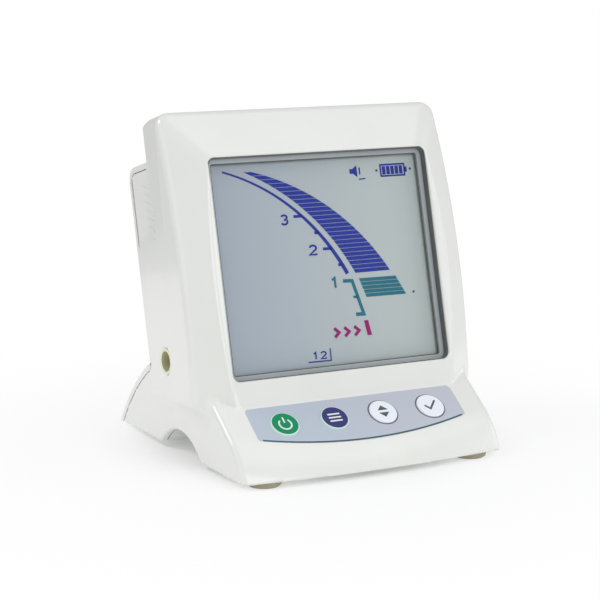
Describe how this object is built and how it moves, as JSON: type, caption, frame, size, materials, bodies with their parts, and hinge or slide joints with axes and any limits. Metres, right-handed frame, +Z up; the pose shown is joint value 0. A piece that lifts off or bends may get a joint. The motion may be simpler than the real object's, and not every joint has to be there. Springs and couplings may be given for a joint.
{
  "type": "apex locator",
  "caption": "Bench-top dental apex locator: leaning bevelled display head on an arched base with a sloped key panel, side probe jack and a battery door.",
  "frame": {"origin": "middle of the footprint, on the surface it stands on", "axes": "+Z up, the display and keys face -Y, +X to the right of a person who looks at the display"},
  "size_m": [0.1046, 0.1006, 0.1132],
  "materials": {
    "ivory_shell": "satin moulded plastic",
    "lavender_panel": "satin metallic film",
    "green_key": "glossy",
    "navy_key": "glossy",
    "white_key": "glossy",
    "black_plastic": "moulded",
    "board_green": "solder mask",
    "screw_steel": "plated",
    "frame_grey": "fine grain",
    "lens_clear": "clear",
    "lcd_glass": "matt polariser",
    "reflector_white": "diffuse",
    "strip_rubber": "layered",
    "can_aluminium": "sleeved",
    "socket_cream": "moulded",
    "collar_cream": "satin",
    "contact_brass": "bright",
    "tray_grey": "moulded",
    "cell_can": "sleeved",
    "foot_rubber": "dull"
  },
  "bodies": {
    "housing": {"main_housing": "ivory_shell", "rear_cover": "ivory_shell", "base_plate": "ivory_shell", "key_panel": "lavender_panel", "key_switches": "black_plastic", "key_board": "board_green", "key_board_screws": "screw_steel", "display_frame": "frame_grey", "display_lens": "lens_clear", "lcd_front_glass": "lcd_glass", "lcd_rear_glass": "lcd_glass", "lcd_reflector": "reflector_white", "display_holder": "black_plastic", "upper_contact_strip": "strip_rubber", "lower_contact_strip": "strip_rubber", "main_board": "board_green", "display_screws": "screw_steel", "processor": "black_plastic", "signal_chips": "black_plastic", "capacitors": "can_aluminium", "speaker": "black_plastic", "ribbon_sockets": "socket_cream", "key_ribbon": "socket_cream", "jack_collar": "collar_cream", "probe_jack": "black_plastic", "jack_contacts": "contact_brass", "jack_ribbon": "socket_cream", "battery_tray": "tray_grey", "battery_cell_1": "cell_can", "battery_cell_2": "cell_can", "battery_cell_3": "cell_can", "battery_cell_4": "cell_can", "cell_springs": "screw_steel", "cell_plates": "screw_steel", "battery_ribbon": "socket_cream", "cover_screws": "screw_steel", "plate_screws": "screw_steel", "foot_front_left": "foot_rubber", "foot_front_right": "foot_rubber", "foot_rear_left": "foot_rubber", "foot_rear_right": "foot_rubber"},
    "power_key": {"power_key": "green_key"},
    "mode_key": {"mode_key": "navy_key"},
    "select_key": {"select_key": "white_key"},
    "set_key": {"set_key": "white_key"},
    "battery_door": {"battery_door": "ivory_shell"}
  },
  "joints": [
    {"name": "power_key_press", "type": "slide", "parent": "housing", "child": "power_key", "axis": [0, 0.5736, -0.8191], "range_m": [0, 0.0006], "stiffness_N_per_m": 1500},
    {"name": "mode_key_press", "type": "slide", "parent": "housing", "child": "mode_key", "axis": [0, 0.5736, -0.8191], "range_m": [0, 0.0006], "stiffness_N_per_m": 1500},
    {"name": "select_key_press", "type": "slide", "parent": "housing", "child": "select_key", "axis": [0, 0.5736, -0.8191], "range_m": [0, 0.0006], "stiffness_N_per_m": 1500},
    {"name": "set_key_press", "type": "slide", "parent": "housing", "child": "set_key", "axis": [0, 0.5736, -0.8191], "range_m": [0, 0.0006], "stiffness_N_per_m": 1500},
    {"name": "battery_door_lift", "type": "slide", "parent": "housing", "child": "battery_door", "axis": [0, 0.9686, -0.2487], "range_m": [0, 0.012]}
  ]
}
